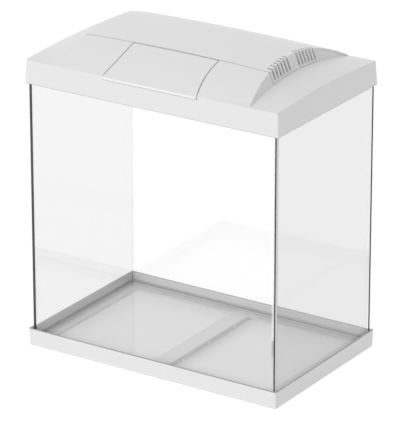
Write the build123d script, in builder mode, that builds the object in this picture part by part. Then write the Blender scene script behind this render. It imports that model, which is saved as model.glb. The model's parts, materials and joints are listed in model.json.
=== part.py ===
"""A glass aquarium: five bonded panes standing in a moulded base tray, under a lift-off moulded hood
that has a vented top cover, a hinged feeding flap and a lamp.

Millimetres. The origin is the middle of the tray's underside, +X runs along the tank, -Y is the front
with the feeding flap, and +Z is up.
"""

import os
from math import atan, cos, hypot, radians, sin, sqrt, tan

from build123d import *

# Glass tank
glass_width = 393.0
glass_depth = 246.4
glass_thickness = 4.0
wall_pane_height = 395.0
bottom_pane_thickness = 4.0
seal_film = 0.4
corner_bead_width = 3.0
bottom_bead_height = 3.0

# Base tray
tray_height = 23.7
tray_wall = 2.4
tray_glass_gap = 1.9
tray_lean_width = 0.84
tray_corner_radius = 2.2
tray_floor = 1.5
ledge_height = 5.0
ledge_width = 20.0
ledge_skin = 2.4
ledge_pocket_pitch = 30.0
ledge_pocket_web = 2.0
rib_width = 26.0
rib_height = 8.1
rib_wall = 2.4
gusset_pitch = 66.0
gusset_reach = 4.0
gusset_thickness = 1.6
gusset_drop = 1.0

# Hood skirt and decks
hood_wall = 2.2
hood_glass_gap = 1.6
skirt_overlap = 18.6
skirt_height = 32.9
skirt_lean_width = 1.95
skirt_corner_radius = 2.2
least_corner_radius = 0.3
dome_foot_tuck = 2.0
rest_flange_width = 8.0
rest_flange_thickness = 2.0
deck_foot_rise = 13.25
deck_edge_rise = 4.5

# Dome
dome_rise = 38.3
dome_crown = 4.6
dome_foot_half = 155.8
dome_end_angle = 22.1

# Seams between the mouldings
seam_gap = 0.4
landing_gap = 0.3
landing_thickness = 2.0
landing_width = 11.0
front_wing_depth = 66.0
rear_strip_depth = 7.05

# Vent panels at the two ends of the cover
vent_panel_depth = 114.6
vent_border_above_foot = 1.0
slot_width = 3.4
slot_pitch = 7.7
slots_in_group = 6
slot_group_offsets = (27.0, 88.9)
slot_bottom_above_foot = 3.4
slot_reach_over_edge = 6.4
left_slot_edge_margin = 4.0

# Feeding flap
flap_thickness = 2.2
flap_rear_half = 67.0
flap_front_half = 74.4
flap_flare_length = 49.0
flap_tail = 1.4
flap_side_gap = 0.9
flap_front_overhang = 0.95
flap_hatch_margin = 7.0
lip_height = 3.4
lip_depth = 1.5
lip_radius = 0.7
lip_overhang = 1.1
lip_proud = 0.2
hinge_pin_radius = 0.8
hinge_pin_clearance = 0.05
hinge_pin_length = 12.0
hinge_pin_in_flap = 6.0
hinge_trough_gap = 0.4
hinge_beam_depth = 8.6
hinge_setback = 0.8
hinge_cover = 0.05
hinge_beam_wall = 2.6

# Cover screws
cover_screw_x = 118.0
cover_boss_radius = 3.5
cover_boss_length = 7.0
screw_from_seam = 7.0
screw_pad_radius = 6.0
screw_pad_thickness = 2.5
screw_radius = 1.5
screw_clearance = 0.2
screw_head_radius = 3.2
screw_head_height = 2.0
screw_length = 7.5

# Lamp
lamp_length = 230.0
lamp_width = 40.0
lamp_height = 15.0
lamp_wall = 1.6
lamp_drop = 10.0
lamp_cap_thickness = 3.0
lamp_cap_ear = 12.0
lamp_cap_ear_thickness = 2.4
groove_lip = 1.2
groove_depth = 2.4
lens_thickness = 2.0
lens_seal_thickness = 1.0
lens_seal_width = 3.0
board_thickness = 1.6
board_margin = 4.0
chip_size = 3.5
chip_height = 0.8
chip_rows = 2
chip_line_spacing = 14.0
chip_pitch = 18.0
lamp_boss_radius = 4.0

# Power inlet
inlet_from_lamp_end = 20.0
lamp_from_seam = 83.1
inlet_above_flange = 4.0
inlet_radius = 2.8
inlet_clearance = 0.1
inlet_flange_radius = 4.0
inlet_flange_thickness = 0.8
inlet_body_length = 13.0
inlet_bore_radius = 1.8
inlet_bore_depth = 9.0
inlet_contact_radius = 0.5
inlet_nut_across_flats = 7.2
inlet_nut_thickness = 2.0
lead_radius = 1.6
lead_straight = 18.0

os.makedirs("parts", exist_ok=True)

# Places worked out from the sizes above
tray_top_width = glass_width + 2 * (tray_glass_gap + tray_wall)
tray_top_depth = glass_depth + 2 * (tray_glass_gap + tray_wall)
glass_foot = ledge_height
glass_top = glass_foot + wall_pane_height
inner_half_width = glass_width / 2 - glass_thickness
inner_half_depth = glass_depth / 2 - glass_thickness
bottom_pane_top = rib_height + bottom_pane_thickness

skirt_foot = glass_top - skirt_overlap
skirt_top = skirt_foot + skirt_height
skirt_half_width = glass_width / 2 + hood_glass_gap + hood_wall
skirt_half_depth = glass_depth / 2 + hood_glass_gap + hood_wall
top_half_width = skirt_half_width - skirt_lean_width
top_half_depth = skirt_half_depth - skirt_lean_width
skirt_slope = skirt_lean_width / skirt_height
dome_slope = tan(radians(dome_end_angle))

seam_y = front_wing_depth - top_half_depth
cover_rear_y = top_half_depth - rear_strip_depth
vent_rear_y = seam_y + vent_panel_depth
flap_front_y = -(top_half_depth + flap_front_overhang)
lamp_centre_y = seam_y + lamp_from_seam
inlet_x = inlet_from_lamp_end - lamp_length / 2

# Cutting shapes run past the faces that they cut by one of these
long_reach = 8.0
short_reach = 1.0
above_hood = skirt_top + dome_rise + long_reach
below_hood = skirt_foot - 2 * long_reach
beyond = skirt_half_width + long_reach


def arc_radius(rise):
    """Radius of the arc that rises this much above the skirt's top edges, front to back."""
    return (top_half_depth**2 + rise**2) / (2 * rise)


def rise_at(x):
    """Rise of the dome's arc at a given x: the dome is crowned, so it is lower towards its ends."""
    return dome_rise - dome_crown * (x / dome_foot_half) ** 2


def dome_z(y, inset=0.0, x=0.0):
    """Height of the dome's arc at a given y and x, for a face that lies inset below the outer one."""
    radius = arc_radius(rise_at(x))
    return skirt_top + rise_at(x) - radius + sqrt((radius - inset) ** 2 - y**2)


def foot_z(y):
    """Height of the line where the deck meets the dome's end wall."""
    radius = arc_radius(deck_foot_rise)
    return skirt_top + deck_foot_rise - radius + sqrt(radius**2 - y**2)


def end_x(z, inset=0.0):
    """Distance from the middle to the dome's leaning end wall at a given height."""
    return dome_foot_half - (z - skirt_top) * dome_slope - inset / cos(radians(dome_end_angle))


def deck_face(plane, rise, inset):
    """Section through a deck: flat beyond the skirt's edges and arched between them."""
    half = top_half_depth - inset
    radius = arc_radius(rise) - inset
    edge_z = skirt_top + rise - arc_radius(rise) + sqrt(radius**2 - half**2)
    with BuildSketch(plane) as face:
        with BuildLine():
            ThreePointArc((-half, edge_z), (0, skirt_top + rise - inset), (half, edge_z))
            Polyline(
                (half, edge_z),
                (half + long_reach, edge_z),
                (half + long_reach, below_hood),
                (-half - long_reach, below_hood),
                (-half - long_reach, edge_z),
                (-half, edge_z),
            )
        make_face()
    return face.sketch


def hood_block(inset):
    """The tapering block of the skirt, cut off by the two arched decks."""
    foot = skirt_foot if inset == 0 else skirt_foot - long_reach
    top = skirt_top + dome_rise
    corner = max(skirt_corner_radius - inset, least_corner_radius)
    with BuildPart() as block:
        for z in (foot, top):
            lean = (z - skirt_foot) * skirt_slope
            with BuildSketch(Plane.XY.offset(z)):
                RectangleRounded(
                    2 * (skirt_half_width - inset - lean), 2 * (skirt_half_depth - inset - lean), corner
                )
        loft(ruled=True)
    deck_in = end_x(skirt_top + deck_foot_rise) - hood_wall
    deck_run = top_half_width - end_x(skirt_top + deck_foot_rise)
    rise_per_mm = (deck_foot_rise - deck_edge_rise) / deck_run
    deck_out = skirt_half_width + short_reach
    edge_rise = deck_edge_rise - (deck_out - top_half_width) * rise_per_mm
    foot_rise = deck_foot_rise + hood_wall * rise_per_mm
    with BuildPart() as decks:
        for side in (-1, 1):
            inner = deck_face(Plane.YZ.offset(side * deck_in), foot_rise, inset)
            outer = deck_face(Plane.YZ.offset(side * deck_out), edge_rise, inset)
            with BuildPart(mode=Mode.PRIVATE) as deck:
                add(inner)
                add(outer)
                loft(ruled=True)
            add(deck.part)
        extrude(deck_face(Plane.YZ.offset(-deck_in), foot_rise, inset), amount=2 * deck_in)
    return block.part & decks.part


def slab(x_low, x_high, y_low, y_high, z_low, z_high):
    """A plain block between two corners."""
    with BuildPart() as block:
        with BuildSketch(Plane.XY.offset(z_low)):
            with Locations(((x_low + x_high) / 2, (y_low + y_high) / 2)):
                Rectangle(x_high - x_low, y_high - y_low)
        extrude(amount=z_high - z_low)
    return block.part


def under_arc(inset, y_low, y_high, half_width):
    """Everything under the dome's crowned arc at this inset, over one stretch of y."""
    end = top_half_depth + 2 * long_reach
    with BuildPart() as region:
        for x in (-skirt_half_width, 0, skirt_half_width):
            end_z = dome_z(end, inset, x)
            with BuildSketch(Plane.YZ.offset(x)):
                with BuildLine():
                    ThreePointArc((-end, end_z), (0, dome_z(0, inset, x)), (end, end_z))
                    Polyline((end, end_z), (end, below_hood), (-end, below_hood), (-end, end_z))
                make_face()
        loft()
    return region.part & slab(-half_width, half_width, y_low, y_high, skirt_foot - long_reach, above_hood)


def dome_arc_block(inset):
    """Everything under the dome's crowned arc, as long as the hood, down to just below the skirt's top."""
    half = top_half_depth - inset
    low_half = half - dome_foot_tuck
    low_z = skirt_top - long_reach
    edge_z = dome_z(half, inset)
    with BuildPart() as ends:
        with BuildSketch(Plane.YZ.offset(-skirt_half_width)):
            Polygon(
                (-half, above_hood),
                (-half, edge_z),
                (-low_half, low_z),
                (low_half, low_z),
                (half, edge_z),
                (half, above_hood),
                align=None,
            )
        extrude(amount=2 * skirt_half_width)
    return ends.part & under_arc(inset, -top_half_depth, top_half_depth, skirt_half_width)


def between_ends(inset):
    """The room between the dome's two leaning end walls."""
    low = skirt_top - long_reach
    with BuildPart() as ends:
        with BuildSketch(Plane.XZ.offset(-skirt_half_depth)):
            Polygon(
                (-end_x(low, inset), low),
                (end_x(low, inset), low),
                (end_x(above_hood, inset), above_hood),
                (-end_x(above_hood, inset), above_hood),
                align=None,
            )
        extrude(amount=2 * skirt_half_depth)
    return ends.part


def dome(inset):
    """The dome: the arc block between its two leaning end walls."""
    return dome_arc_block(inset) & between_ends(inset)


def arc_skin(top_inset, bottom_inset, y_low, y_high, half_width):
    """A curved strip that follows the dome's arc between two insets."""
    return under_arc(top_inset, y_low, y_high, half_width) - under_arc(
        bottom_inset, y_low - short_reach, y_high + short_reach, half_width + short_reach
    )


def flap_prism(margin, front_y, rear_y):
    """The flap's outline seen from above, widened by a margin and run up through the dome.

    Its sides are straight behind and flare out in an arc in front.
    """
    flare_start = flap_front_y + flap_flare_length
    flare = flap_front_half - flap_rear_half
    radius = (flap_flare_length**2 + flare**2) / (2 * flare)

    def half_at(y):
        run = max(flare_start - y, 0)
        return flap_rear_half + radius - sqrt(radius**2 - run**2) + margin

    middle = (flare_start + front_y) / 2
    with BuildPart() as prism:
        with BuildSketch(Plane.XY.offset(skirt_foot)):
            with BuildLine():
                for side in (-1, 1):
                    ThreePointArc(*[(side * half_at(y), y) for y in (front_y, middle, flare_start)])
                    Line((side * half_at(flare_start), flare_start), (side * half_at(rear_y), rear_y))
                Line((-half_at(front_y), front_y), (half_at(front_y), front_y))
                Line((-half_at(rear_y), rear_y), (half_at(rear_y), rear_y))
            make_face()
        extrude(amount=above_hood - skirt_foot)
    return prism.part


# Base tray: tapering outside, ledge for the wall panes, floor panel, cross rib and gussets
tray_inner_half_width = glass_width / 2 + tray_glass_gap
tray_inner_half_depth = glass_depth / 2 + tray_glass_gap
floor_half_width = tray_inner_half_width - ledge_width
floor_half_depth = tray_inner_half_depth - ledge_width
tray_foot_width = tray_top_width - 2 * tray_lean_width
tray_foot_depth = tray_top_depth - 2 * tray_lean_width
with BuildPart() as base_tray:
    with BuildSketch():
        RectangleRounded(tray_foot_width, tray_foot_depth, tray_corner_radius)
    with BuildSketch(Plane.XY.offset(tray_height)):
        RectangleRounded(tray_top_width, tray_top_depth, tray_corner_radius)
    loft(ruled=True)
    with BuildSketch(Plane.XY.offset(ledge_height)):
        Rectangle(2 * tray_inner_half_width, 2 * tray_inner_half_depth)
    extrude(amount=tray_height, mode=Mode.SUBTRACT)
    with BuildSketch(Plane.XY.offset(tray_floor)):
        Rectangle(2 * floor_half_width, 2 * floor_half_depth)
    extrude(amount=tray_height, mode=Mode.SUBTRACT)
    with BuildSketch(Plane.XY.offset(tray_floor)):
        Rectangle(rib_width, 2 * floor_half_depth)
    extrude(amount=rib_height - tray_floor)
    with BuildSketch(Plane.XZ.offset(-gusset_thickness / 2)):
        Polygon(
            (-rib_width / 2 - gusset_reach, tray_floor),
            (rib_width / 2 + gusset_reach, tray_floor),
            (rib_width / 2, rib_height - gusset_drop),
            (-rib_width / 2, rib_height - gusset_drop),
            align=None,
        )
    gusset = extrude(amount=gusset_thickness, mode=Mode.PRIVATE)
    with Locations((0, -gusset_pitch, 0), (0, 0, 0), (0, gusset_pitch, 0)):
        add(gusset)
    pocket_width = ledge_width - 1.5 * ledge_pocket_web
    pocket_size = ledge_pocket_pitch - ledge_pocket_web
    front_pockets = int((2 * floor_half_width) // ledge_pocket_pitch)
    side_pockets = int((2 * floor_half_depth) // ledge_pocket_pitch)
    with BuildSketch(Plane.XY):
        with GridLocations(ledge_pocket_pitch, 2 * floor_half_depth + ledge_width, front_pockets, 2):
            Rectangle(pocket_size, pocket_width)
        with GridLocations(2 * floor_half_width + ledge_width, ledge_pocket_pitch, 2, side_pockets):
            Rectangle(pocket_width, pocket_size)
    extrude(amount=ledge_height - ledge_skin, mode=Mode.SUBTRACT)
    with BuildSketch(Plane.XY):
        with GridLocations(1, ledge_pocket_pitch, 1, side_pockets):
            Rectangle(rib_width - 2 * rib_wall, pocket_size)
    extrude(amount=rib_height - rib_wall, mode=Mode.SUBTRACT)
base_tray.part.label = "base_tray"
export_step(base_tray.part, "parts/base_tray.step")

# Wall panes: front and back run the full width, the side panes stand between them
side_pane_half_depth = inner_half_depth - seal_film
wall_panes = {
    "front_pane": (0, -(glass_depth - glass_thickness) / 2, glass_width, glass_thickness),
    "back_pane": (0, (glass_depth - glass_thickness) / 2, glass_width, glass_thickness),
    "left_pane": (-(glass_width - glass_thickness) / 2, 0, glass_thickness, 2 * side_pane_half_depth),
    "right_pane": ((glass_width - glass_thickness) / 2, 0, glass_thickness, 2 * side_pane_half_depth),
}
for name, (x, y, size_x, size_y) in wall_panes.items():
    with BuildPart() as wall_pane:
        with BuildSketch(Plane.XY.offset(glass_foot)):
            with Locations((x, y)):
                Rectangle(size_x, size_y)
        extrude(amount=wall_pane_height)
    wall_pane.part.label = name
    export_step(wall_pane.part, f"parts/{name}.step")

# Bottom pane, raised on the tray's rib between the wall panes
with BuildPart() as bottom_pane:
    with BuildSketch(Plane.XY.offset(rib_height)):
        Rectangle(2 * (inner_half_width - seal_film), 2 * (inner_half_depth - seal_film))
    extrude(amount=bottom_pane_thickness)
bottom_pane.part.label = "bottom_pane"
export_step(bottom_pane.part, "parts/bottom_pane.step")

# Bottom seal: a film round the bottom pane's edge with a bead above it
bottom_bead_top = bottom_pane_top + bottom_bead_height
with BuildPart() as bottom_seal:
    with BuildSketch(Plane.XY.offset(rib_height)):
        Rectangle(2 * inner_half_width, 2 * inner_half_depth)
        Rectangle(
            2 * (inner_half_width - seal_film), 2 * (inner_half_depth - seal_film), mode=Mode.SUBTRACT
        )
    extrude(amount=bottom_pane_thickness)
    with BuildSketch(Plane.XY.offset(bottom_pane_top)):
        Rectangle(2 * inner_half_width, 2 * inner_half_depth)
    extrude(amount=bottom_bead_height)
    with BuildSketch(Plane.XY.offset(bottom_pane_top)):
        Rectangle(2 * (inner_half_width - bottom_bead_height), 2 * (inner_half_depth - bottom_bead_height))
    with BuildSketch(Plane.XY.offset(bottom_bead_top)):
        Rectangle(2 * inner_half_width, 2 * inner_half_depth)
    loft(ruled=True, mode=Mode.SUBTRACT)
bottom_seal.part.label = "bottom_seal"
export_step(bottom_seal.part, "parts/bottom_seal.step")

# Corner seals: a film between two panes and a bead in the inner corner, above the bottom seal
for side_x, side_y, name in (
    (-1, -1, "front_left_seal"),
    (1, -1, "front_right_seal"),
    (-1, 1, "back_left_seal"),
    (1, 1, "back_right_seal"),
):
    corner_x = side_x * inner_half_width
    corner_y = side_y * inner_half_depth
    with BuildPart() as corner_seal:
        with BuildSketch(Plane.XY.offset(glass_foot)):
            Polygon(
                (corner_x, corner_y),
                (side_x * glass_width / 2, corner_y),
                (side_x * glass_width / 2, corner_y - side_y * seal_film),
                (corner_x, corner_y - side_y * seal_film),
                align=None,
            )
        extrude(amount=wall_pane_height)
        with BuildSketch(Plane.XY.offset(bottom_bead_top)):
            Polygon(
                (corner_x, corner_y),
                (corner_x - side_x * corner_bead_width, corner_y),
                (corner_x, corner_y - side_y * corner_bead_width),
                align=None,
            )
        extrude(amount=glass_top - bottom_bead_top)
    corner_seal.part.label = name
    export_step(corner_seal.part, f"parts/{name}.step")

# Zones that split the hood's shell between frame, cover and flap
hood_shell = (hood_block(0) + dome(0)) - hood_block(hood_wall) - dome(hood_wall)
landing_top = hood_wall + landing_gap
landing_bottom = landing_top + landing_thickness


def cover_zone(gap, depth):
    """The room that the cover takes out of the shell: its top skin and vent panels, down to a depth.

    The gap widens it all round.
    """
    front = seam_y + seam_gap / 2 - gap
    rear = cover_rear_y - seam_gap / 2 + gap
    top_skin = slab(-beyond, beyond, front, rear, skirt_top, above_hood) & between_ends(0)
    hollow_half = beyond + short_reach
    top_skin = top_skin - under_arc(depth, front - short_reach, rear + short_reach, hollow_half)
    vent_rear = vent_rear_y + gap
    middle = (front + vent_rear) / 2
    border = [(y, foot_z(y) + vent_border_above_foot - gap) for y in (front, middle, vent_rear)]
    with BuildPart() as vent_panels:
        with BuildSketch(Plane.YZ.offset(-beyond)):
            with BuildLine():
                ThreePointArc(*border)
                Polyline(border[2], (vent_rear, above_hood), (front, above_hood), border[0])
            make_face()
        extrude(amount=2 * beyond)
        add(dome(depth), mode=Mode.SUBTRACT)
    return top_skin + vent_panels.part


# Hinge of the feeding flap, just ahead of the seam and under the skin
barrel_radius = flap_thickness
hinge_y = seam_y - seam_gap / 2 - barrel_radius - hinge_setback
hinge_z = dome_z(hinge_y, barrel_radius + hinge_cover, flap_rear_half)
flap_rear_y = hinge_y + flap_tail
trough_radius = hypot(flap_tail, dome_z(flap_rear_y) - hinge_z) + hinge_trough_gap
hatch_front_y = -(top_half_depth - hood_wall - flap_hatch_margin)
hatch_rear_y = hinge_y - trough_radius - hinge_beam_wall


def along_x(radius, x_low, x_high, y, z):
    """A round bar along X."""
    with BuildPart() as bar:
        with BuildSketch(Plane.YZ.offset(x_low)):
            with Locations((y, z)):
                Circle(radius)
        extrude(amount=x_high - x_low)
    return bar.part


def upright(radius, x, y, z_low, z_high):
    """A round bar along Z."""
    with BuildPart() as bar:
        with BuildSketch(Plane.XY.offset(z_low)):
            with Locations((x, y)):
                Circle(radius)
        extrude(amount=z_high - z_low)
    return bar.part


# Cover screws: front pair through the hinge beam, rear pair through the rear landing
cover_screw_places = [
    (side * cover_screw_x, y)
    for y in (seam_y + screw_from_seam, cover_rear_y - screw_from_seam)
    for side in (-1, 1)
]


def cover_boss_foot(y):
    """Height at which a cover boss stands on its screw pad."""
    return dome_z(y, 0, cover_screw_x) - cover_boss_length


# Power inlet, square to the leaning rear wall
inlet_z = glass_top + rest_flange_thickness + inlet_above_flange
inlet_wall_y = top_half_depth + (skirt_top - inlet_z) * skirt_slope
lean_angle = atan(skirt_slope)
inlet_axis = Vector(0, cos(lean_angle), sin(lean_angle))
inlet_plane = Plane(origin=(inlet_x, inlet_wall_y, inlet_z), x_dir=(1, 0, 0), z_dir=tuple(inlet_axis))

# Hood frame: skirt, decks and front wings, with the landings that carry the cover and the flap
rest_half_width = glass_width / 2 + hood_glass_gap + hood_wall / 2 - skirt_overlap * skirt_slope
rest_half_depth = glass_depth / 2 + hood_glass_gap + hood_wall / 2 - skirt_overlap * skirt_slope
with BuildPart() as hood_frame:
    add(hood_shell)
    landing_ends = top_half_depth - hood_wall / 2
    hatch_landing = arc_skin(hood_wall / 2, landing_bottom, -landing_ends, hinge_y, beyond)
    add(hatch_landing & flap_prism(flap_side_gap + landing_thickness, -landing_ends, hinge_y))
    beam = arc_skin(hood_wall / 2, hinge_beam_depth, hatch_rear_y, seam_y + landing_width, beyond)
    add(beam & dome(hood_wall / 2))
    rear_landing = arc_skin(hood_wall / 2, landing_bottom, cover_rear_y - landing_width, landing_ends, beyond)
    add(rear_landing & dome(hood_wall / 2))
    for x, y in cover_screw_places:
        pad_foot = cover_boss_foot(y) - screw_pad_thickness
        pad = upright(screw_pad_radius, x, y, pad_foot, above_hood)
        add(pad & under_arc(landing_top, y - 2 * screw_pad_radius, y + 2 * screw_pad_radius, beyond))
    add(cover_zone(seam_gap, hood_wall + landing_gap), mode=Mode.SUBTRACT)
    window = flap_prism(flap_side_gap, flap_front_y - long_reach, seam_y - seam_gap / 2)
    window_floor = under_arc(landing_top, flap_front_y - 2 * long_reach, seam_y, beyond)
    add(window - window_floor, mode=Mode.SUBTRACT)
    add(flap_prism(-flap_hatch_margin, hatch_front_y, hatch_rear_y), mode=Mode.SUBTRACT)
    trough_half = flap_rear_half + flap_side_gap
    add(along_x(trough_radius, -trough_half, trough_half, hinge_y, hinge_z), mode=Mode.SUBTRACT)
    pin_end = flap_rear_half - hinge_pin_in_flap + hinge_pin_length
    add(along_x(hinge_pin_radius, -pin_end, pin_end, hinge_y, hinge_z), mode=Mode.SUBTRACT)
    for x, y in cover_screw_places:
        boss_foot = cover_boss_foot(y)
        add(upright(cover_boss_radius + seam_gap, x, y, boss_foot, above_hood), mode=Mode.SUBTRACT)
        pad_foot = boss_foot - screw_pad_thickness
        add(upright(screw_radius + screw_clearance, x, y, pad_foot, above_hood), mode=Mode.SUBTRACT)
    with BuildSketch(Plane.XY.offset(glass_top)):
        Rectangle(2 * rest_half_width, 2 * rest_half_depth)
        mouth_width = glass_width - 2 * rest_flange_width
        Rectangle(mouth_width, glass_depth - 2 * rest_flange_width, mode=Mode.SUBTRACT)
    extrude(amount=rest_flange_thickness)
    with BuildSketch(inlet_plane.offset(-2 * hood_wall)):
        Circle(inlet_radius + inlet_clearance)
    extrude(amount=4 * hood_wall, mode=Mode.SUBTRACT)
hood_frame.part.label = "hood_frame"
export_step(hood_frame.part, "parts/hood_frame.step")

# Top cover: the dome from the seam to its rear edge, with the vent panels at both ends
lamp_boss_x = lamp_length / 2 + lamp_cap_thickness + lamp_cap_ear / 2
lamp_top = dome_z(lamp_centre_y, hood_wall, lamp_boss_x) - lamp_drop
lamp_bottom = lamp_top - lamp_height
with BuildPart() as top_cover:
    add(hood_shell & cover_zone(0, hood_wall + landing_gap / 2))
    for x, y in cover_screw_places:
        boss = upright(cover_boss_radius, x, y, cover_boss_foot(y), above_hood)
        add(boss & under_arc(hood_wall / 2, y - 2 * cover_boss_radius, y + 2 * cover_boss_radius, beyond))
        screw_tip = cover_boss_foot(y) + screw_length - screw_pad_thickness
        add(upright(screw_radius, x, y, cover_boss_foot(y), screw_tip), mode=Mode.SUBTRACT)
    for side in (-1, 1):
        boss = upright(lamp_boss_radius, side * lamp_boss_x, lamp_centre_y, lamp_top, above_hood)
        reach = 2 * lamp_boss_radius
        add(boss & under_arc(hood_wall / 2, lamp_centre_y - reach, lamp_centre_y + reach, beyond))
        screw_tip = lamp_top + screw_length - lamp_cap_ear_thickness
        add(upright(screw_radius, side * lamp_boss_x, lamp_centre_y, lamp_top, screw_tip), mode=Mode.SUBTRACT)
        for group_offset in slot_group_offsets:
            for slot in range(slots_in_group):
                y = seam_y + group_offset + (slot - (slots_in_group - 1) / 2) * slot_pitch
                edge_z = dome_z(y, 0, dome_foot_half)
                inner = end_x(edge_z) - slot_reach_over_edge
                foot = foot_z(y) + slot_bottom_above_foot
                slot_top = above_hood if side > 0 else edge_z - left_slot_edge_margin
                low_x, high_x = sorted((side * inner, side * beyond))
                slot_room = slab(low_x, high_x, y - slot_width / 2, y + slot_width / 2, foot, slot_top)
                add(slot_room, mode=Mode.SUBTRACT)
top_cover.part.label = "top_cover"
export_step(top_cover.part, "parts/top_cover.step")

# Feeding flap: a piece of the dome's skin with a hinge barrel behind and a rounded lip in front
lip_top = dome_z(flap_front_y) + lip_proud
with BuildPart() as feeding_flap:
    flap_skin = arc_skin(0, flap_thickness, flap_front_y, flap_rear_y, beyond)
    add(flap_skin & flap_prism(0, flap_front_y, flap_rear_y))
    add(along_x(barrel_radius, -flap_rear_half, flap_rear_half, hinge_y, hinge_z))
    with BuildSketch(Plane.YZ.offset(-flap_front_half)):
        with Locations((flap_front_y - lip_overhang + lip_depth / 2, lip_top - lip_height / 2)):
            RectangleRounded(lip_depth, lip_height, lip_radius)
    extrude(amount=2 * flap_front_half)
    for side in (-1, 1):
        bore_end = flap_rear_half - hinge_pin_in_flap - seam_gap
        bore_x = sorted((side * bore_end, side * (flap_rear_half + short_reach)))
        bore = along_x(hinge_pin_radius + hinge_pin_clearance, bore_x[0], bore_x[1], hinge_y, hinge_z)
        add(bore, mode=Mode.SUBTRACT)
feeding_flap.part.label = "feeding_flap"
export_step(feeding_flap.part, "parts/feeding_flap.step")

# Hinge pins: pressed into the frame's beam, running in the flap's barrel
for side, name in ((-1, "left_hinge_pin"), (1, "right_hinge_pin")):
    pin_x = sorted((side * (flap_rear_half - hinge_pin_in_flap), side * pin_end))
    with BuildPart() as hinge_pin:
        add(along_x(hinge_pin_radius, pin_x[0], pin_x[1], hinge_y, hinge_z))
    hinge_pin.part.label = name
    export_step(hinge_pin.part, f"parts/{name}.step")


def screw(x, y, head_top):
    """A pan-head screw that points up, with a hexagonal recess in its head."""
    with BuildPart() as one_screw:
        add(upright(screw_head_radius, x, y, head_top - screw_head_height, head_top))
        add(upright(screw_radius, x, y, head_top, head_top + screw_length))
        with BuildSketch(Plane.XY.offset(head_top - screw_head_height)):
            with Locations((x, y)):
                RegularPolygon(screw_radius, 6)
        extrude(amount=screw_head_height / 2, mode=Mode.SUBTRACT)
    return one_screw.part


with BuildPart() as cover_screws:
    for x, y in cover_screw_places:
        add(screw(x, y, cover_boss_foot(y) - screw_pad_thickness))
cover_screws.part.label = "cover_screws"
export_step(cover_screws.part, "parts/cover_screws.step")

with BuildPart() as lamp_screws:
    for side in (-1, 1):
        add(screw(side * lamp_boss_x, lamp_centre_y, lamp_top - lamp_cap_ear_thickness))
lamp_screws.part.label = "lamp_screws"
export_step(lamp_screws.part, "parts/lamp_screws.step")

# Lamp housing: a long channel with a lens groove along both sides
lamp_inner_half = lamp_width / 2 - lamp_wall
lead_entry_z = (lamp_top + lamp_bottom) / 2
with BuildPart() as lamp_housing:
    with BuildSketch(Plane.YZ.offset(-lamp_length / 2)):
        with Locations((lamp_centre_y, (lamp_top + lamp_bottom) / 2)):
            Rectangle(lamp_width, lamp_height)
        with Locations((lamp_centre_y, (lamp_top + lamp_bottom) / 2 - lamp_wall)):
            Rectangle(2 * lamp_inner_half, lamp_height, mode=Mode.SUBTRACT)
        for lip_z in (lamp_bottom, lamp_bottom + groove_lip + lens_thickness + lens_seal_thickness):
            with Locations((lamp_centre_y, lip_z + groove_lip / 2)):
                Rectangle(2 * lamp_inner_half, groove_lip)
                Rectangle(2 * (lamp_inner_half - groove_depth), groove_lip, mode=Mode.SUBTRACT)
    extrude(amount=lamp_length)
    with BuildSketch(Plane.XZ.offset(-(lamp_centre_y + lamp_width / 2))):
        with Locations((inlet_x, lead_entry_z)):
            Circle(lead_radius + inlet_clearance)
    extrude(amount=lamp_wall, mode=Mode.SUBTRACT)
lamp_housing.part.label = "lamp_housing"
export_step(lamp_housing.part, "parts/lamp_housing.step")

# Lamp end caps, each with the ear that its screw holds
for side, name in ((-1, "left_lamp_cap"), (1, "right_lamp_cap")):
    cap_x = sorted((side * lamp_length / 2, side * (lamp_length / 2 + lamp_cap_thickness)))
    ear_x = sorted((side * lamp_length / 2, side * (lamp_length / 2 + lamp_cap_thickness + lamp_cap_ear)))
    ear_low = lamp_top - lamp_cap_ear_thickness
    half = lamp_width / 2
    with BuildPart() as lamp_cap:
        add(slab(cap_x[0], cap_x[1], lamp_centre_y - half, lamp_centre_y + half, lamp_bottom, lamp_top))
        add(slab(ear_x[0], ear_x[1], lamp_centre_y - half / 2, lamp_centre_y + half / 2, ear_low, lamp_top))
        hole_radius = screw_radius + screw_clearance
        add(upright(hole_radius, side * lamp_boss_x, lamp_centre_y, ear_low, lamp_top), mode=Mode.SUBTRACT)
    lamp_cap.part.label = name
    export_step(lamp_cap.part, f"parts/{name}.step")

# Light board under the housing's top, with its rows of chips
board_low = lamp_top - lamp_wall - board_thickness
board_half_length = lamp_length / 2 - board_margin
board_half_width = lamp_inner_half - board_margin
with BuildPart() as light_board:
    with BuildSketch(Plane.XY.offset(board_low)):
        with Locations((0, lamp_centre_y)):
            Rectangle(2 * board_half_length, 2 * board_half_width)
    extrude(amount=board_thickness)
light_board.part.label = "light_board"
export_step(light_board.part, "parts/light_board.step")

chips_in_row = int(2 * (board_half_length - chip_size) // chip_pitch)
with BuildPart() as light_chips:
    with BuildSketch(Plane.XY.offset(board_low - chip_height)):
        with Locations((0, lamp_centre_y)):
            with GridLocations(chip_pitch, chip_line_spacing, chips_in_row, chip_rows):
                Rectangle(chip_size, chip_size)
    extrude(amount=chip_height)
light_chips.part.label = "light_chips"
export_step(light_chips.part, "parts/light_chips.step")

# Lens in the lower groove and the seal strip that lies on it
lens_half_width = lamp_inner_half - landing_gap
with BuildPart() as lamp_lens:
    with BuildSketch(Plane.XY.offset(lamp_bottom + groove_lip)):
        with Locations((0, lamp_centre_y)):
            Rectangle(lamp_length, 2 * lens_half_width)
    extrude(amount=lens_thickness)
lamp_lens.part.label = "lamp_lens"
export_step(lamp_lens.part, "parts/lamp_lens.step")

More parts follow.
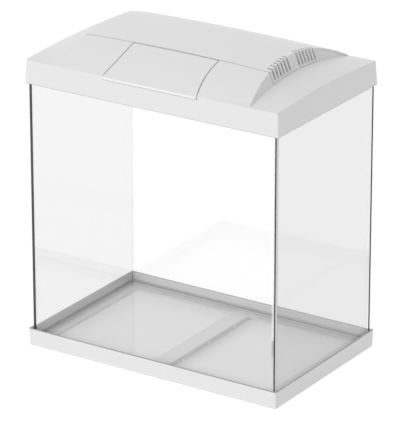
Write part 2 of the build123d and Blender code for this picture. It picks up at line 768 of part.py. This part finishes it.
with BuildPart() as lens_seal:
    with BuildSketch(Plane.XY.offset(lamp_bottom + groove_lip + lens_thickness)):
        with Locations((0, lamp_centre_y)):
            Rectangle(lamp_length, 2 * lens_half_width)
            Rectangle(
                lamp_length - 2 * lens_seal_width, 2 * (lens_half_width - lens_seal_width), mode=Mode.SUBTRACT
            )
    extrude(amount=lens_seal_thickness)
lens_seal.part.label = "lens_seal"
export_step(lens_seal.part, "parts/lens_seal.step")

# Power inlet: a round socket with an outer flange, held by a nut inside the rear wall
with BuildPart() as power_inlet:
    with BuildSketch(inlet_plane):
        Circle(inlet_flange_radius)
    extrude(amount=inlet_flange_thickness)
    with BuildSketch(inlet_plane):
        Circle(inlet_radius)
    extrude(amount=-inlet_body_length)
    with BuildSketch(inlet_plane.offset(inlet_flange_thickness)):
        Circle(inlet_bore_radius)
    extrude(amount=-inlet_bore_depth, mode=Mode.SUBTRACT)
    with BuildSketch(inlet_plane.offset(inlet_flange_thickness - inlet_bore_depth)):
        Circle(inlet_contact_radius)
    extrude(amount=inlet_bore_depth - inlet_flange_thickness)
power_inlet.part.label = "power_inlet"
export_step(power_inlet.part, "parts/power_inlet.step")

with BuildPart() as inlet_nut:
    with BuildSketch(inlet_plane.offset(-hood_wall)):
        RegularPolygon(inlet_nut_across_flats / 2, 6, major_radius=False)
        Circle(inlet_radius, mode=Mode.SUBTRACT)
    extrude(amount=-inlet_nut_thickness)
inlet_nut.part.label = "inlet_nut"
export_step(inlet_nut.part, "parts/inlet_nut.step")

# Lamp lead: out of the inlet, up in one easy bend, and through the housing's rear wall
lead_start = inlet_plane.origin - inlet_axis * inlet_body_length
lead_end = Vector(inlet_x, lamp_centre_y + lamp_inner_half, lead_entry_z)
lead_points = [
    lead_start,
    lead_start - inlet_axis * lead_straight,
    lead_end + Vector(0, lead_straight, 0),
    lead_end,
]
lead_radii = []
for before, corner, after in zip(lead_points, lead_points[1:], lead_points[2:]):
    turn = radians((corner - before).get_angle(after - corner))
    shorter = min((corner - before).length, (after - corner).length)
    lead_radii.append(0.45 * shorter / tan(turn / 2))
print("lamp lead bend radii:", [round(radius, 1) for radius in lead_radii])
with BuildPart() as lamp_lead:
    with BuildLine() as lead_route:
        FilletPolyline(*lead_points, radius=lead_radii)
    with BuildSketch(Plane(origin=lead_start, x_dir=(1, 0, 0), z_dir=tuple(-inlet_axis))):
        Circle(lead_radius)
    sweep()
lamp_lead.part.label = "lamp_lead"
export_step(lamp_lead.part, "parts/lamp_lead.step")
print("lamp lead length:", round(sum(edge.length for edge in lead_route.edges()), 1))
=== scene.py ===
"""The glass aquarium dressed for its picture: white mouldings, float glass, clear silicone and the lamp."""

import json
from math import cos, radians, sqrt, tan

import bmesh
import bpy
from mathutils import Matrix, Vector


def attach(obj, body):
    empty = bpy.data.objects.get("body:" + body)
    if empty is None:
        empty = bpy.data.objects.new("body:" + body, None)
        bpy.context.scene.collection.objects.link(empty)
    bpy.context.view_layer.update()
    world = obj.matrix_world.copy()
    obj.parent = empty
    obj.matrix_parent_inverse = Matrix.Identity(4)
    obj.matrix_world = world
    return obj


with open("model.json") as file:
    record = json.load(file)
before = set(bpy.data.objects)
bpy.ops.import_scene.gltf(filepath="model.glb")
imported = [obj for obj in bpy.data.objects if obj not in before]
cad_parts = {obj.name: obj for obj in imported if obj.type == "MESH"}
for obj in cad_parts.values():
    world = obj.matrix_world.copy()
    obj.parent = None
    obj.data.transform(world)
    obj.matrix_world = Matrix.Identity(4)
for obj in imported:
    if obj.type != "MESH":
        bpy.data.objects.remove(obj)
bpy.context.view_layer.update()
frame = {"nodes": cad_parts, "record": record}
nodes = frame["nodes"]
scene = bpy.context.scene

# All lengths are in metres. A pair named ..._fade is where a soft step starts and where it is full.

# Camera
image_width = 411
image_height = 433
camera_place = Vector((2.4565, -3.7761, 1.9523))
camera_right = Vector((0.8390, 0.5442, 0.0))
camera_up = Vector((-0.1983, 0.3057, 0.9313))
focal_pixels = 3554.18
sensor_size = 36.0
clip_near = 0.1
clip_far = 60.0

# Tray
tray_height = 0.0237
tray_floor = 0.0015
ledge_height = 0.005
rib_half_width = 0.013
rib_height = 0.0081

# Glass and its silicone, measured from the middle of the tank
glass_half_width = 0.1965
glass_half_depth = 0.1232
inner_half_width = 0.1925
inner_half_depth = 0.1192
face_margin = 0.00015
end_face_reach = 0.0015
bed_line_top = rib_height + 0.0019
bed_line_shade = 0.75
back_end_shade = 0.5
bead_shine = 0.07

# Hood: the crowned dome, its leaning end walls and its seams
skirt_foot = 0.3814
skirt_top = 0.4143
top_half_depth = 0.12505
dome_rise = 0.0383
dome_crown = 0.0046
dome_foot_half = 0.1558
dome_end_angle = radians(22.1)
deck_foot_rise = 0.01325
seam_y = -0.05905
cover_rear_y = 0.118
vent_rear_y = 0.05555
border_above_foot = 0.001

# Flap
lip_foot = 0.4111
lip_rear = -0.12555
# Top of the painted highlight on the flap's lip
lip_highlight_top = lip_foot + 0.0042
flap_rear_half = 0.067
flap_front_half = 0.0744
flare_start = -0.077
flare_length = 0.049
flap_gap_middle = 0.00045

# Painted shade in the hood's seams
seam_fade = (0.0007, 0.0014)
gap_fade = (0.0003, 0.0008)
flap_seam_foot = skirt_top + 0.002
beside_seam_shade = 0.2
in_gap_shade = 0.55

# Painted shade on the hood under the flap's lip and along its foot, and a painted highlight round its
# corners
lip_shade = 0.6
lip_shade_front = -0.1249
lip_shade_half = flap_front_half + 0.001
lip_shade_top = lip_foot + 0.0004
lip_shade_fade = (lip_foot - 0.0024, lip_foot - 0.0008)
hood_foot_shade = 0.3
hood_foot_fade = (skirt_foot + 0.0004, skirt_foot + 0.0011)
rounded_from = 0.25

# Painted shade and painted light on the tray
rim_shade = 0.5
rim_fade = (tray_height - 0.0007, tray_height - 0.0002)
tray_foot_shade = 0.4
tray_foot_fade = (0.0003, 0.001)
floor_painted_light = 0.6
floor_fade = (tray_floor + 0.0002, tray_floor + 0.0005)
near_wall_shade = 0.13
near_wall_fade = (0.004, 0.062)
near_rib_shade = 0.17
near_rib_fade = (0.003, 0.03)
inside_foot = 0.001
inside_top = rib_height + 0.001
ledge_shade = 0.08
ledge_shade_foot = ledge_height - 0.0005
ledge_shade_from = 0.02
gusset_from = rib_half_width + 0.0003
gusset_to = rib_half_width + 0.02
gusset_foot = tray_floor + 0.0006
gusset_rear = inner_half_depth - 0.018
rib_margin = -0.0002

# Gauze behind the vents: a dark sheet put there as painted shade, for the shade inside the hood seen through
# the slots
shade_gauze_inset = 0.0027
shade_gauze_thickness = 0.0004
shade_gauze_front = seam_y + 0.0027
shade_gauze_rear = vent_rear_y - 0.0015
shade_gauze_above_foot = 0.0024
shade_gauze_over_edge = 0.0085
shade_gauze_wall_share = 0.625
shade_gauze_columns = 8
shade_gauze_rows = 36
edge_rounds = 4
threads_per_metre = 1250.0

# Colours of the painted light and painted shade
painted_shade_colour = (0.02, 0.02, 0.021, 1.0)
painted_light_colour = (0.98, 0.98, 0.98, 1.0)
seam_shade_colour = (0.04, 0.04, 0.042, 1.0)
painted_pale_end = (0.95, 0.95, 0.95, 1.0)
white = (1.0, 1.0, 1.0, 1.0)

# Light
floor_size = 12.0
floor_drop = 0.0004
dim_sky = 0.1
bright_sky = 1.45
seen_sky = 1.0
sky_middle = 0.647
sky_less_to_right = 0.58
sky_less_to_left = 0.165
sky_more_to_front = 0.15
table_grey = (0.5, 0.5, 0.5, 1.0)
table_glow = 0.52
paper_grey = (0.12, 0.12, 0.12, 1.0)
paper_glow = 0.93
key_strength = 2.0
key_place = Vector((-0.5, -2.4, 1.9))
key_target = Vector((0.0, 0.0, 0.22))
key_size = 1.4


def place_camera():
    """A camera where the photograph was taken from."""
    data = bpy.data.cameras.new("camera")
    data.sensor_width = sensor_size
    data.lens = focal_pixels * sensor_size / max(image_width, image_height)
    data.clip_start = clip_near
    data.clip_end = clip_far
    camera = bpy.data.objects.new("camera", data)
    scene.collection.objects.link(camera)
    side = camera_right.normalized()
    back = side.cross(camera_up).normalized()
    up = back.cross(side)
    turn = Matrix((side, up, back)).transposed()
    camera.matrix_world = Matrix.Translation(camera_place) @ turn.to_4x4()
    scene.camera = camera


place_camera()


class Wire:
    """A shader socket that sums can be written with."""

    def __init__(self, finish, socket):
        self.finish = finish
        self.socket = socket

    def sum_with(self, operation, first, second=None):
        inputs = {0: first} if second is None else {0: first, 1: second}
        return self.finish.node("Math", {"operation": operation}, inputs)["Value"]

    def __add__(self, other):
        return self.sum_with("ADD", self, other)

    def __radd__(self, other):
        return self.sum_with("ADD", other, self)

    def __sub__(self, other):
        return self.sum_with("SUBTRACT", self, other)

    def __rsub__(self, other):
        return self.sum_with("SUBTRACT", other, self)

    def __mul__(self, other):
        return self.sum_with("MULTIPLY", self, other)

    def __truediv__(self, other):
        return self.sum_with("DIVIDE", self, other)

    def __mod__(self, other):
        return self.sum_with("FLOORED_MODULO", self, other)

    def __abs__(self):
        return self.sum_with("ABSOLUTE", self)

    def __gt__(self, other):
        return self.sum_with("GREATER_THAN", self, other)

    def __lt__(self, other):
        return self.sum_with("LESS_THAN", self, other)

    def __or__(self, other):
        return self.sum_with("MAXIMUM", self, other)

    def __and__(self, other):
        return self.sum_with("MINIMUM", self, other)


class Made:
    """A node that was made, whose outputs are read by name as wires."""

    def __init__(self, finish, node):
        self.finish = finish
        self.node = node

    def __getitem__(self, name):
        return Wire(self.finish, self.node.outputs[name])


class Finish:
    """A material, or the world, that is built node by node."""

    def __init__(self, name, owner=None):
        self.owner = owner or bpy.data.materials.new(name)
        self.owner.use_nodes = True
        self.tree = self.owner.node_tree
        self.tree.nodes.clear()

    def node(self, kind, settings=None, inputs=None):
        """Adds a node: its settings first, then the values or wires of its sockets."""
        made = self.tree.nodes.new("ShaderNode" + kind)
        for name, value in (settings or {}).items():
            setattr(made, name, value)
        for name, value in (inputs or {}).items():
            if isinstance(value, Wire):
                self.tree.links.new(value.socket, made.inputs[name])
            else:
                made.inputs[name].default_value = value
        return Made(self, made)

    def place(self):
        """Where a point is on the object."""
        return self.node("TexCoord")["Object"]

    def axes(self, vector):
        """The three numbers of a vector."""
        split = self.node("SeparateXYZ", None, {"Vector": vector})
        return split["X"], split["Y"], split["Z"]

    def facing(self):
        """The three numbers of the direction that a face points in."""
        return self.axes(self.node("NewGeometry")["True Normal"])

    def noise(self, scale, detail=3.0, roughness=0.5, stretch=None):
        """Noise from 0 to 1 with features about 1/scale metres across."""
        where = self.place()
        if stretch:
            stretched = {"Vector": where, "Scale": stretch}
            where = self.node("Mapping", {"vector_type": "POINT"}, stretched)["Vector"]
        inputs = {"Vector": where, "Scale": scale, "Detail": detail, "Roughness": roughness}
        return self.node("TexNoise", None, inputs)["Fac"]

    def blend(self, factor, low, high):
        """A colour between two others."""
        mix = self.node("Mix", {"data_type": "RGBA"}, {0: factor, 6: low, 7: high})
        return Wire(self, mix.node.outputs[2])

    def ease(self, value, start, end):
        """0 below the start and 1 past the end, with a soft step between."""
        settings = {"interpolation_type": "SMOOTHSTEP", "clamp": True}
        inputs = {"Value": value, "From Min": start, "From Max": end, "To Min": 0.0, "To Max": 1.0}
        return self.node("MapRange", settings, inputs)["Result"]

    def root(self, value):
        return self.node("Math", {"operation": "SQRT"}, {0: value})["Value"]

    def bump(self, strength, distance, height, normal=None):
        """The surface's direction with a fine relief on it."""
        inputs = {"Strength": strength, "Distance": distance, "Height": height}
        if normal:
            inputs["Normal"] = normal
        return self.node("Bump", None, inputs)["Normal"]

    def soft_edges(self, radius):
        """The surface's direction, turned as if sharp edges were rounded over this radius."""
        return self.node("Bevel", {"samples": 6}, {"Radius": radius})["Normal"]

    def passing_rays(self):
        """1 for the rays that carry shadow and soft light, which glass and silicone let through."""
        path = self.node("LightPath")
        return path["Is Shadow Ray"] | path["Is Diffuse Ray"]

    def seen_rays(self):
        """1 for the rays that the camera sees, straight, mirrored or through glass."""
        path = self.node("LightPath")
        return path["Is Camera Ray"] | path["Is Glossy Ray"] | path["Is Transmission Ray"]

    def even_light(self, kind, strength):
        """White light of one strength: Emission from a surface, or Background from the world."""
        return self.node(kind, None, {"Color": white, "Strength": strength})[kind]

    def clear(self, colour=white):
        return self.node("BsdfTransparent", None, {"Color": colour})["BSDF"]

    def surface(self, inputs):
        return self.node("BsdfPrincipled", None, inputs)["BSDF"]

    def mix(self, factor, first, second):
        """The first shader where the factor is 0, and the second where it is 1."""
        return self.node("MixShader", None, {0: factor, 1: first, 2: second})["Shader"]

    def ends_in(self, shader):
        kind = "OutputWorld" if isinstance(self.owner, bpy.types.World) else "OutputMaterial"
        self.node(kind, None, {"Surface": shader})
        return self.owner


def seam_shade(f):
    """How much painted shade darkens the hood beside its seams and down inside their gaps, from 0 to 1."""
    x, y, z = f.axes(f.place())
    x = abs(x)
    rise = dome_rise - x * x * (dome_crown / dome_foot_half**2)
    radius = (rise * rise + top_half_depth**2) / (rise * 2.0)
    dome_z = f.root(radius * radius - y * y) + rise + skirt_top - radius
    foot_radius = (top_half_depth**2 + deck_foot_rise**2) / (2 * deck_foot_rise)
    foot_z = f.root(foot_radius**2 - y * y) + (skirt_top + deck_foot_rise - foot_radius)
    flare = flap_front_half - flap_rear_half
    flare_radius = (flare_length**2 + flare**2) / (2 * flare)
    run = (flare_start - y) | 0.0
    flap_half = flare_radius + flap_rear_half + flap_gap_middle - f.root(flare_radius**2 - run * run)
    ahead = y < seam_y
    off_flap = abs(x - flap_half) + (1.0 - ahead) + (z < flap_seam_foot)
    off_seam = abs(y - seam_y) + (z < foot_z) + (x > dome_foot_half)
    off_rear = abs(y - cover_rear_y) + (z < foot_z)
    beside = 1.0 - f.ease(off_flap & off_seam & off_rear, *seam_fade)
    below = f.ease(dome_z - z, *gap_fade) & (z > foot_z + border_above_foot)
    by_flap = 1.0 - f.ease(off_flap, *seam_fade)
    return beside * beside_seam_shade | (below & by_flap) * in_gap_shade


def hood_painted_shading(f):
    """A painted highlight round the hood's corners, and painted shade under the flap's lip and along its
    foot.
    """
    x, y, z = f.axes(f.place())
    nx, ny, _ = f.facing()
    under_lip = (y < lip_shade_front) & (abs(x) < lip_shade_half)
    under_lip = under_lip * f.ease(z, *lip_shade_fade) * (z < lip_shade_top)
    # Painted shade along the skirt's foot
    foot = 1.0 - f.ease(z, *hood_foot_fade)
    # Painted highlight on the rounded corners of the skirt
    corner = (abs(nx) > rounded_from) & (abs(ny) > rounded_from) & (z < skirt_top)
    return (corner, painted_light_colour), (under_lip * lip_shade | foot * hood_foot_shade, painted_shade_colour)


def tray_painted_shading(f):
    """Painted light on the tray's floor and gussets, and painted shade on its rim and foot and by its wall
    and rib.
    """
    across, y, z = f.axes(f.place())
    x, y = abs(across), abs(y)
    rim = f.ease(z, *rim_fade)
    foot = 1.0 - f.ease(z, *tray_foot_fade)
    off_wall = (glass_half_width - x) & (glass_half_depth - y)
    inside = (off_wall > 0.0) & (z > inside_foot) & (z < inside_top)
    on_ledge = (z > ledge_shade_foot) * (x > ledge_shade_from)
    near_wall = (1.0 - f.ease(off_wall, *near_wall_fade)) * near_wall_shade + on_ledge * ledge_shade
    off_rib = across - rib_half_width
    by_rib = (1.0 - f.ease(off_rib, *near_rib_fade)) * (off_rib > rib_margin) * near_rib_shade
    floor = 1.0 - f.ease(z, *floor_fade)
    # Painted highlight on the gussets beside the rib
    gusset = (x > gusset_from) & (x < gusset_to) & (z > gusset_foot)
    gusset = gusset & (z < rib_height) & (y < gusset_rear)
    on_floor = (near_wall | by_rib) * inside * (1.0 - gusset)
    darker = rim * rim_shade | foot * tray_foot_shade | on_floor
    return (floor * floor_painted_light | gusset, painted_light_colour), (darker, painted_shade_colour)


def flap_painted_highlight(f):
    """A painted highlight on the flap's lip, which is paler than the rest of it."""
    _, y, z = f.axes(f.place())
    return (((y < lip_rear) & (z < lip_highlight_top), painted_light_colour),)


def moulded_white(name, pale, dark, roughness=0.34, edge=0.0007, painted_shading=None, seams=False):
    """Satin white moulding: faint flow clouds in the colour and the gloss, over a fine even grain."""
    f = Finish(name)
    clouds = f.noise(9.0, 3.0, 0.55, (1.0, 1.0, 1.6))
    specks = f.noise(420.0, 2.0, 0.6)
    colour = f.blend(clouds * 0.75 + specks * 0.25, (*dark, 1.0), (*pale, 1.0))
    # Painted highlights and painted shade over the moulding's own colour
    for amount, shade in painted_shading(f) if painted_shading else ():
        colour = f.blend(amount, colour, shade)
    # Painted shade beside the seams and down inside their gaps
    if seams:
        colour = f.blend(seam_shade(f), colour, seam_shade_colour)
    grain = f.noise(1500.0, 2.0, 0.5)
    inputs = {
        "Base Color": colour,
        "Roughness": roughness - 0.05 + clouds * 0.06 + specks * 0.05,
        "Normal": f.bump(0.35, 0.00003, grain, f.soft_edges(edge)),
        "IOR": 1.5,
    }
    return f.ends_in(f.surface(inputs))


def standing_ends(f):
    """Where the ends of the four standing panes show painted shade, painted pale or clear.

    The front ends of the side panes show as painted shade through the front pane, dark like the edges of
    glass; its own left end is clear and its right end is painted pale. The right end of the back pane has
    half as much painted shade.
    """
    x, y, _ = f.axes(f.place())
    nx, ny, _ = f.facing()
    long_end = (abs(nx) > 0.5) & (abs(x) > glass_half_width - face_margin)
    long_end = long_end & (abs(y) > inner_half_depth - face_margin)
    short_end = (abs(ny) > 0.5) & (abs(x) > inner_half_width - face_margin)
    short_end = short_end & (y < -inner_half_depth + end_face_reach) & (y > -inner_half_depth - face_margin)
    front_end = long_end & (y < 0.0)
    pale = front_end & (x > 0.0)
    back_end = long_end & (y > 0.0) & (x > 0.0)
    return back_end * back_end_shade | short_end | pale, pale, front_end


def bedded_ends(f):
    """The edges of a pane that is bedded in silicone are clear, apart from a line of painted shade along
    their foot.
    """
    _, _, z = f.axes(f.place())
    _, _, nz = f.facing()
    edge = abs(nz) < 0.5
    return (edge & (z < bed_line_top)) * bed_line_shade, 0.0, edge


def float_glass(name, shade, bend=1.5, ends=standing_ends):
    """Clear float glass whose ends show painted shade or a painted pale face where its ends function says.
    Shadow and diffuse rays go straight through it.
    """
    f = Finish(name)
    painted_end, pale, open_ends = ends(f)
    end_mottle = f.noise(900.0, 2.0, 0.5)
    # The ends are painted near black as shade, or pale as painted light
    dark = f.blend(end_mottle, (0.01, 0.01, 0.01, 1.0), (0.03, 0.03, 0.03, 1.0))
    painted_end_face = f.surface({"Base Color": f.blend(pale, dark, painted_pale_end), "Roughness": 0.5})
    passing = f.passing_rays()
    glass = f.node("BsdfGlass", None, {"Color": (*shade, 1.0), "Roughness": 0.0, "IOR": bend})["BSDF"]
    pane = f.mix(passing | open_ends, glass, f.clear())
    return f.ends_in(f.mix(painted_end * (1.0 - passing), pane, painted_end_face))


def cured_silicone():
    """Clear cured silicone: all but unseen against the glass, with a faint milky gloss on its beads."""
    f = Finish("cured_silicone")
    x, y, _ = f.axes(f.place())
    bead = (abs(x) < inner_half_width - face_margin) & (abs(y) < inner_half_depth - face_margin)
    ripple = f.noise(260.0, 3.0, 0.5, (1.0, 1.0, 0.2))
    inputs = {
        "Base Color": (0.86, 0.87, 0.87, 1.0),
        "Roughness": 0.22 + ripple * 0.1,
        "Normal": f.bump(0.25, 0.0002, ripple),
    }
    seen = bead * (1.0 - f.passing_rays()) * bead_shine
    return f.ends_in(f.mix(seen, f.clear((0.995, 0.995, 0.995, 1.0)), f.surface(inputs)))


def metal(name, pale, dark, roughness, stretch, scale=900.0):
    """Drawn, plated or anodised metal, with its fine lines running one way."""
    f = Finish(name)
    lines = f.noise(scale, 4.0, 0.65, stretch)
    clouds = f.noise(60.0, 2.0, 0.5)
    inputs = {
        "Base Color": f.blend(lines * 0.6 + clouds * 0.4, (*dark, 1.0), (*pale, 1.0)),
        "Roughness": roughness - 0.06 + lines * 0.12,
        "Metallic": 1.0,
        "Normal": f.bump(0.3, 0.00002, lines),
    }
    return f.ends_in(f.surface(inputs))


def plain_moulding(name, pale, dark, roughness, scale=1200.0):
    """Grey, black or tinted moulding or coating with a fine grain."""
    f = Finish(name)
    grain = f.noise(scale, 3.0, 0.55)
    clouds = f.noise(70.0, 2.0, 0.5)
    inputs = {
        "Base Color": f.blend(grain * 0.5 + clouds * 0.5, (*dark, 1.0), (*pale, 1.0)),
        "Roughness": roughness - 0.05 + grain * 0.1,
        "Normal": f.bump(0.4, 0.00004, grain),
    }
    return f.ends_in(f.surface(inputs))


hood_pale = (0.885, 0.885, 0.885)
hood_dark = (0.87, 0.87, 0.871)
finishes = {
    "tray_plastic": moulded_white(
        "tray_white", (0.88, 0.88, 0.88), (0.865, 0.865, 0.866), 0.40, 0.0003, tray_painted_shading
    ),
    "hood_plastic": moulded_white("hood_white", hood_pale, hood_dark, painted_shading=hood_painted_shading, seams=True),
    "cover_plastic": moulded_white("cover_white", hood_pale, hood_dark, seams=True),
    "flap_plastic": moulded_white("flap_white", hood_pale, hood_dark, 0.31, painted_shading=flap_painted_highlight, seams=True),
    "pane_glass": float_glass("float_glass", (1.0, 1.0, 1.0)),
    "clear_silicone": cured_silicone(),
    "pin_steel": metal("drawn_steel", (0.68, 0.68, 0.69), (0.54, 0.54, 0.55), 0.28, (0.05, 1.0, 1.0)),
    "screw_steel": metal(
        "zinc_plated_steel", (0.66, 0.67, 0.69), (0.52, 0.53, 0.55), 0.32, (1.0, 1.0, 1.0), 500.0
    ),
    "lamp_aluminium": metal(
        "anodised_aluminium", (0.82, 0.82, 0.83), (0.74, 0.74, 0.75), 0.36, (0.04, 1.0, 1.0)
    ),
    "lamp_cap_plastic": plain_moulding("lamp_cap_grey", (0.56, 0.57, 0.58), (0.50, 0.51, 0.52), 0.45),
    "board_coating": plain_moulding("board_white", (0.84, 0.85, 0.82), (0.78, 0.79, 0.76), 0.35, 600.0),
    "chip_phosphor": plain_moulding(
        "chip_phosphor_yellow", (0.84, 0.72, 0.22), (0.74, 0.60, 0.15), 0.25, 2500.0
    ),
    "lens_plastic": plain_moulding("lens_frosted", (0.90, 0.91, 0.92), (0.84, 0.85, 0.86), 0.30),
    "seal_rubber": plain_moulding("seal_black", (0.035, 0.035, 0.036), (0.02, 0.02, 0.021), 0.6),
    "inlet_plastic": plain_moulding("inlet_black", (0.04, 0.04, 0.041), (0.025, 0.025, 0.026), 0.42),
    "lead_sheath": plain_moulding("lead_black", (0.045, 0.045, 0.046), (0.03, 0.03, 0.031), 0.5),
}
slot_of = {row["node"]: row["material_slot"] for row in frame["record"]["subparts"]}
# The side panes get darker copies of the same glass, the right one darkest, as painted shade: they show less
# light than the front and back
own_finishes = {
    "left_pane": float_glass("left_pane_glass", (0.941, 0.941, 0.941)),
    "right_pane": float_glass("right_pane_glass", (0.911, 0.911, 0.911)),
    "bottom_pane": float_glass("bottom_glass", (0.998, 0.998, 0.998), 1.25, bedded_ends),
}
for name, node in nodes.items():
    finish = own_finishes.get(name, finishes[slot_of[name]])
    node.data.materials.clear()
    node.data.materials.append(finish)


def made_object(name, shape, finish):
    """An object from a finished shape, with one material."""
    mesh = bpy.data.meshes.new(name)
    shape.to_mesh(mesh)
    shape.free()
    mesh.materials.append(finish)
    made = bpy.data.objects.new(name, mesh)
    scene.collection.objects.link(made)
    return made


def arc_z(y, rise, inset=0.0):
    """Height of an arc over the hood that rises this much above the skirt's top edges."""
    radius = (top_half_depth**2 + rise**2) / (2 * rise)
    return skirt_top + rise - radius + sqrt((radius - inset) ** 2 - y**2)


def under_dome_z(x, y):
    """Height of the shade gauze under the crowned dome."""
    return arc_z(y, dome_rise - dome_crown * (x / dome_foot_half) ** 2, shade_gauze_inset)


def inside_end_x(z):
    """How far out the shade gauze is on the inside of the leaning end wall, at a height."""
    return dome_foot_half - (z - skirt_top) * tan(dome_end_angle) - shade_gauze_inset / cos(dome_end_angle)


def hang_shade_gauze(name, side, finish):
    """A dark gauze behind the vents of one end, put there as painted shade for the shade inside the hood: up
    the inside of the end wall and in under the top.
    """
    shape = bmesh.new()
    bmesh.ops.create_grid(shape, x_segments=shade_gauze_columns, y_segments=shade_gauze_rows, size=1.0)
    for corner in shape.verts:
        along = (corner.co.x + 1) / 2
        y = shade_gauze_front + (shade_gauze_rear - shade_gauze_front) * (corner.co.y + 1) / 2
        edge_x = dome_foot_half
        for _ in range(edge_rounds):
            edge_z = under_dome_z(edge_x, y)
            edge_x = inside_end_x(edge_z)
        if along < shade_gauze_wall_share:
            foot = arc_z(y, deck_foot_rise) + shade_gauze_above_foot
            z = foot + (edge_z - foot) * along / shade_gauze_wall_share
            x = inside_end_x(z)
        else:
            x = edge_x - shade_gauze_over_edge * (along - shade_gauze_wall_share) / (1 - shade_gauze_wall_share)
            z = under_dome_z(x, y)
        corner.co = Vector((side * x, y, z))
    bmesh.ops.recalc_face_normals(shape, faces=shape.faces)
    bmesh.ops.solidify(shape, geom=shape.faces[:], thickness=shade_gauze_thickness)
    bmesh.ops.recalc_face_normals(shape, faces=shape.faces)
    gauze = made_object(name, shape, finish)
    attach(gauze, "hood")


def woven_shade_gauze():
    """Black woven gauze, with its threads as a fine check in the colour and the relief: a dark sheet that
    stands as painted shade behind the vents.
    """
    f = Finish("vent_shade_gauze_black")
    x, y, z = f.axes(f.place())
    across = abs((y * threads_per_metre) % 1.0 - 0.5)
    up = abs(((x + z) * threads_per_metre) % 1.0 - 0.5)
    thread = f.ease(across | up, 0.28, 0.42)
    inputs = {
        "Base Color": f.blend(thread, (0.012, 0.012, 0.013, 1.0), (0.05, 0.05, 0.052, 1.0)),
        "Roughness": 0.75 - thread * 0.15,
        "Normal": f.bump(0.5, 0.0001, thread),
    }
    return f.ends_in(f.surface(inputs))


shade_gauze_finish = woven_shade_gauze()
hang_shade_gauze("left_vent_shade_gauze", -1, shade_gauze_finish)
hang_shade_gauze("right_vent_shade_gauze", 1, shade_gauze_finish)


def floor_finish():
    """A floor that the camera sees white, with the object's soft shadow, and that lights the object less."""
    f = Finish("floor_white")

    def glowing(grey, glow):
        lit = f.node("BsdfDiffuse", None, {"Color": grey})["BSDF"]
        return f.node("AddShader", None, {0: lit, 1: f.even_light("Emission", glow)})["Shader"]

    table = glowing(table_grey, table_glow)
    paper = glowing(paper_grey, paper_glow)
    return f.ends_in(f.mix(f.seen_rays(), table, paper))


def lay_floor():
    """A wide floor just under the tray's foot."""
    shape = bmesh.new()
    bmesh.ops.create_grid(shape, x_segments=1, y_segments=1, size=floor_size)
    bmesh.ops.translate(shape, verts=shape.verts, vec=(0.0, 0.0, -floor_drop))
    floor = made_object("floor", shape, floor_finish())


def light_world():
    """A soft sky, dimmer to the right and brighter to the front, that shows white behind the object."""
    world = bpy.data.worlds.new("studio")
    scene.world = world
    f = Finish("studio", world)
    across, deep, _ = f.axes(f.node("TexCoord")["Generated"])
    less = across * sky_less_to_right | across * -sky_less_to_left
    amount = sky_middle - less - deep * sky_more_to_front
    dim = f.even_light("Background", dim_sky)
    bright = f.even_light("Background", bright_sky)
    soft = f.mix((amount | 0.0) & 1.0, dim, bright)
    f.ends_in(f.mix(f.seen_rays(), soft, f.even_light("Background", seen_sky)))


def hang_light():
    """A square soft light at the front left that points at the middle of the tank."""
    data = bpy.data.lights.new("key_light", "AREA")
    data.energy = key_strength
    data.size = key_size
    light = bpy.data.objects.new("key_light", data)
    scene.collection.objects.link(light)
    turn = (key_target - key_place).to_track_quat("-Z", "Y").to_matrix().to_4x4()
    light.matrix_world = Matrix.Translation(key_place) @ turn


lay_floor()
light_world()
hang_light()
scene.view_settings.view_transform = "Standard"
